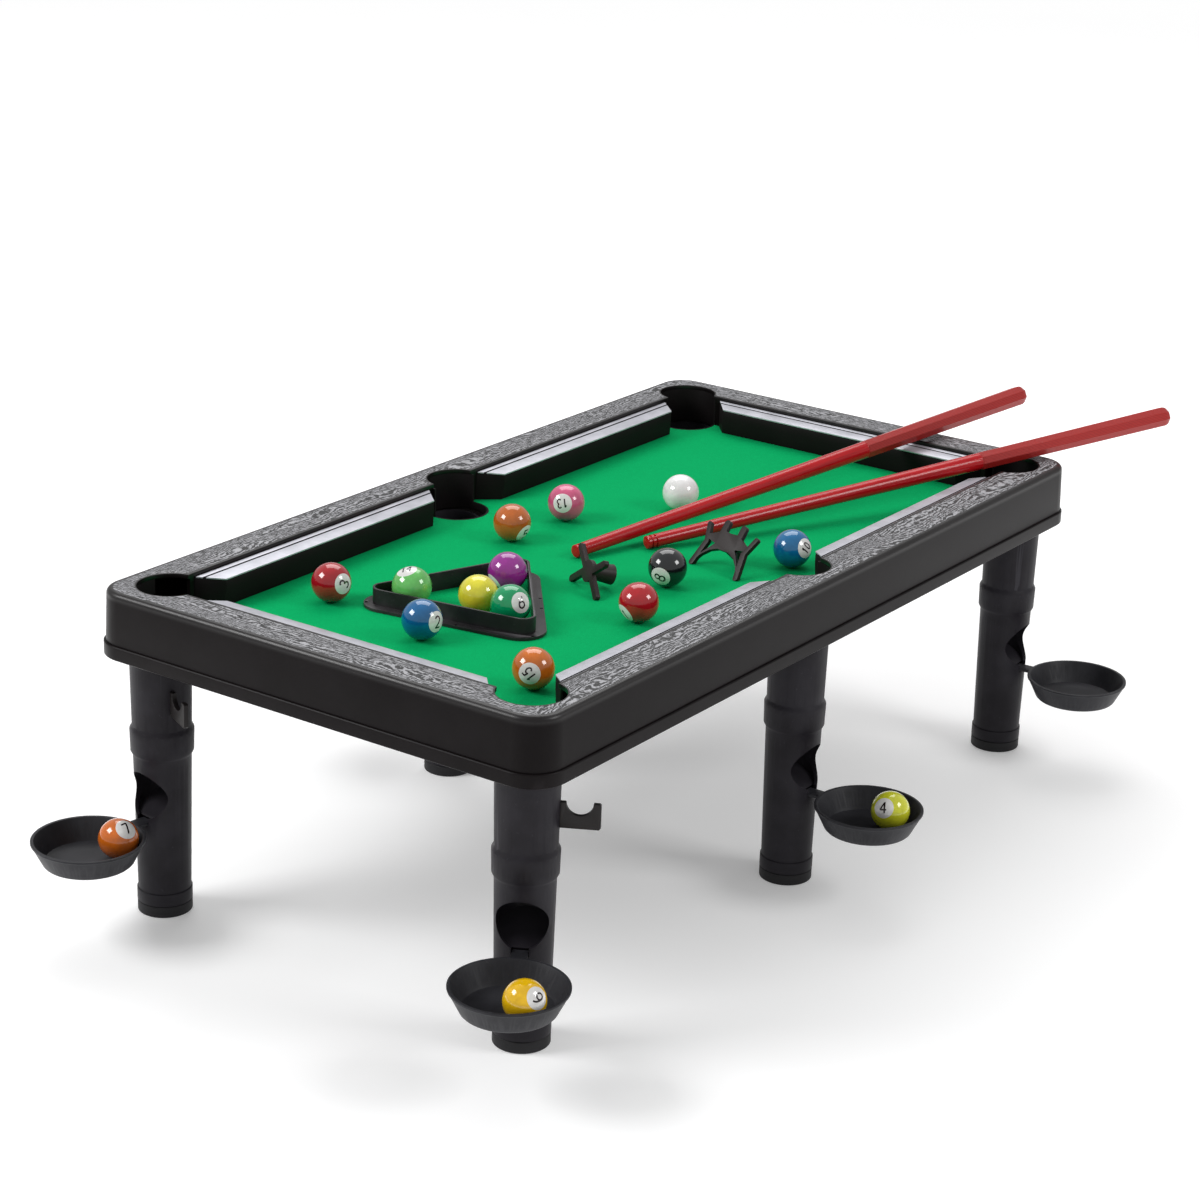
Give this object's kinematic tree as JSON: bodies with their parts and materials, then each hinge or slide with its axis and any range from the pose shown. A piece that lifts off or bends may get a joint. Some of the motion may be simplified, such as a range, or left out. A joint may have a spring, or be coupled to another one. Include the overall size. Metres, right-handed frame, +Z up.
{
  "type": "mini pool table",
  "caption": "Small pool table on hollow legs that drop potted balls into trays, with cushions, pockets, coloured balls, cues, a triangle and cue rests.",
  "frame": {"origin": "on the floor under the middle of the table top", "axes": "+Z up, +X along the long side away from the camera's left, +Y towards the back long side"},
  "size_m": [0.7965, 0.4658, 0.2382],
  "materials": {
    "frame_plastic": "satin moulded skirt with an embossed wood-grain top",
    "pan_plastic": "satin",
    "board": "raw pressed fibreboard",
    "felt": "short green nap",
    "cushion_rubber": "dull black-brown",
    "trim_silver": "silver coated strip with a groove",
    "liner_plastic": "satin",
    "screw_steel": "plated",
    "leg_plastic": "satin moulded",
    "foot_plastic": "fine texture",
    "tray_plastic": "satin",
    "hook_plastic": "satin",
    "ball_red": "polished",
    "ball_light_green": "polished",
    "ball_blue": "polished",
    "ball_purple": "polished",
    "ball_yellow": "polished",
    "ball_green": "polished",
    "ball_brown": "polished",
    "ball_pink": "polished",
    "ball_cue": "polished",
    "ball_black": "polished",
    "ball_dark_red": "polished",
    "ball_sky_blue": "polished",
    "ball_amber": "polished",
    "ball_orange": "polished",
    "ball_gold": "polished",
    "ball_lime": "polished",
    "cue_red": "glossy red",
    "rack_plastic": "satin",
    "rest_plastic": "satin"
  },
  "bodies": {
    "table": {"rail_frame": "frame_plastic", "base_pan": "pan_plastic", "bed_board": "board", "felt_cloth": "felt", "cushion_front_near": "cushion_rubber", "cushion_front_far": "cushion_rubber", "cushion_back_near": "cushion_rubber", "cushion_back_far": "cushion_rubber", "cushion_end_near": "cushion_rubber", "cushion_end_far": "cushion_rubber", "cushion_trims": "trim_silver", "pocket_liner_front_near": "liner_plastic", "pocket_liner_front_mid": "liner_plastic", "pocket_liner_front_far": "liner_plastic", "pocket_liner_back_near": "liner_plastic", "pocket_liner_back_mid": "liner_plastic", "pocket_liner_back_far": "liner_plastic", "pan_screws": "screw_steel"},
    "leg_front_near": {"leg_front_near": "leg_plastic", "foot_front_near": "foot_plastic", "tray_front_near": "tray_plastic", "cue_hook_front": "hook_plastic"},
    "leg_front_mid": {"leg_front_mid": "leg_plastic", "foot_front_mid": "foot_plastic", "tray_front_mid": "tray_plastic"},
    "leg_front_far": {"leg_front_far": "leg_plastic", "foot_front_far": "foot_plastic", "tray_front_far": "tray_plastic"},
    "leg_back_near": {"leg_back_near": "leg_plastic", "foot_back_near": "foot_plastic", "tray_back_near": "tray_plastic", "cue_hook_back": "hook_plastic"},
    "leg_back_mid": {"leg_back_mid": "leg_plastic", "foot_back_mid": "foot_plastic", "tray_back_mid": "tray_plastic"},
    "leg_back_far": {"leg_back_far": "leg_plastic", "foot_back_far": "foot_plastic", "tray_back_far": "tray_plastic"},
    "ball_red": {"ball_red": "ball_red"},
    "ball_light_green": {"ball_light_green": "ball_light_green"},
    "ball_blue": {"ball_blue": "ball_blue"},
    "ball_purple": {"ball_purple": "ball_purple"},
    "ball_yellow": {"ball_yellow": "ball_yellow"},
    "ball_green": {"ball_green": "ball_green"},
    "ball_brown": {"ball_brown": "ball_brown"},
    "ball_pink": {"ball_pink": "ball_pink"},
    "ball_cue": {"ball_cue": "ball_cue"},
    "ball_black": {"ball_black": "ball_black"},
    "ball_dark_red": {"ball_dark_red": "ball_dark_red"},
    "ball_sky_blue": {"ball_sky_blue": "ball_sky_blue"},
    "ball_amber": {"ball_amber": "ball_amber"},
    "ball_orange": {"ball_orange": "ball_orange"},
    "ball_gold": {"ball_gold": "ball_gold"},
    "ball_lime": {"ball_lime": "ball_lime"},
    "cue_one": {"cue_one": "cue_red"},
    "cue_two": {"cue_two": "cue_red"},
    "ball_rack": {"ball_rack": "rack_plastic"},
    "small_rest": {"small_rest": "rest_plastic"},
    "spider_rest": {"spider_rest": "rest_plastic"}
  },
  "joints": [
    {"name": "turn_leg_front_near", "type": "hinge", "parent": "table", "child": "leg_front_near", "pos_m": [-0.288, -0.1395, 0.18], "axis": [0, 0, 1], "continuous": true},
    {"name": "turn_leg_front_mid", "type": "hinge", "parent": "table", "child": "leg_front_mid", "pos_m": [0, -0.1395, 0.18], "axis": [0, 0, 1], "continuous": true},
    {"name": "turn_leg_front_far", "type": "hinge", "parent": "table", "child": "leg_front_far", "pos_m": [0.288, -0.1395, 0.18], "axis": [0, 0, 1], "continuous": true},
    {"name": "turn_leg_back_near", "type": "hinge", "parent": "table", "child": "leg_back_near", "pos_m": [-0.288, 0.1395, 0.18], "axis": [0, 0, 1], "continuous": true},
    {"name": "turn_leg_back_mid", "type": "hinge", "parent": "table", "child": "leg_back_mid", "pos_m": [0, 0.1395, 0.18], "axis": [0, 0, 1], "continuous": true},
    {"name": "turn_leg_back_far", "type": "hinge", "parent": "table", "child": "leg_back_far", "pos_m": [0.288, 0.1395, 0.18], "axis": [0, 0, 1], "continuous": true},
    {"name": "lift_ball_red", "type": "slide", "parent": "table", "child": "ball_red", "axis": [0, 0, 1], "range_m": [0, 0.1]},
    {"name": "lift_ball_light_green", "type": "slide", "parent": "table", "child": "ball_light_green", "axis": [0, 0, 1], "range_m": [0, 0.1]},
    {"name": "lift_ball_blue", "type": "slide", "parent": "table", "child": "ball_blue", "axis": [0, 0, 1], "range_m": [0, 0.1]},
    {"name": "lift_ball_purple", "type": "slide", "parent": "table", "child": "ball_purple", "axis": [0, 0, 1], "range_m": [0, 0.1]},
    {"name": "lift_ball_yellow", "type": "slide", "parent": "table", "child": "ball_yellow", "axis": [0, 0, 1], "range_m": [0, 0.1]},
    {"name": "lift_ball_green", "type": "slide", "parent": "table", "child": "ball_green", "axis": [0, 0, 1], "range_m": [0, 0.1]},
    {"name": "lift_ball_brown", "type": "slide", "parent": "table", "child": "ball_brown", "axis": [0, 0, 1], "range_m": [0, 0.1]},
    {"name": "lift_ball_pink", "type": "slide", "parent": "table", "child": "ball_pink", "axis": [0, 0, 1], "range_m": [0, 0.1]},
    {"name": "lift_ball_cue", "type": "slide", "parent": "table", "child": "ball_cue", "axis": [0, 0, 1], "range_m": [0, 0.1]},
    {"name": "lift_ball_black", "type": "slide", "parent": "table", "child": "ball_black", "axis": [0, 0, 1], "range_m": [0, 0.1]},
    {"name": "lift_ball_dark_red", "type": "slide", "parent": "table", "child": "ball_dark_red", "axis": [0, 0, 1], "range_m": [0, 0.1]},
    {"name": "lift_ball_sky_blue", "type": "slide", "parent": "table", "child": "ball_sky_blue", "axis": [0, 0, 1], "range_m": [0, 0.1]},
    {"name": "lift_ball_amber", "type": "slide", "parent": "table", "child": "ball_amber", "axis": [0, 0, 1], "range_m": [0, 0.1]},
    {"name": "lift_ball_orange", "type": "slide", "parent": "leg_back_near", "child": "ball_orange", "axis": [0, 0, 1], "range_m": [0, 0.08]},
    {"name": "lift_ball_gold", "type": "slide", "parent": "leg_front_near", "child": "ball_gold", "axis": [0, 0, 1], "range_m": [0, 0.08]},
    {"name": "lift_ball_lime", "type": "slide", "parent": "leg_front_mid", "child": "ball_lime", "axis": [0, 0, 1], "range_m": [0, 0.08]},
    {"name": "lift_cue_one", "type": "slide", "parent": "table", "child": "cue_one", "axis": [0, 0, 1], "range_m": [0, 0.12]},
    {"name": "lift_cue_two", "type": "slide", "parent": "table", "child": "cue_two", "axis": [0, 0, 1], "range_m": [0, 0.12]},
    {"name": "lift_ball_rack", "type": "slide", "parent": "table", "child": "ball_rack", "axis": [0, 0, 1], "range_m": [0, 0.12]},
    {"name": "lift_small_rest", "type": "slide", "parent": "table", "child": "small_rest", "axis": [0, 0, 1], "range_m": [0, 0.12]},
    {"name": "lift_spider_rest", "type": "slide", "parent": "table", "child": "spider_rest", "axis": [0, 0, 1], "range_m": [0, 0.12]}
  ]
}
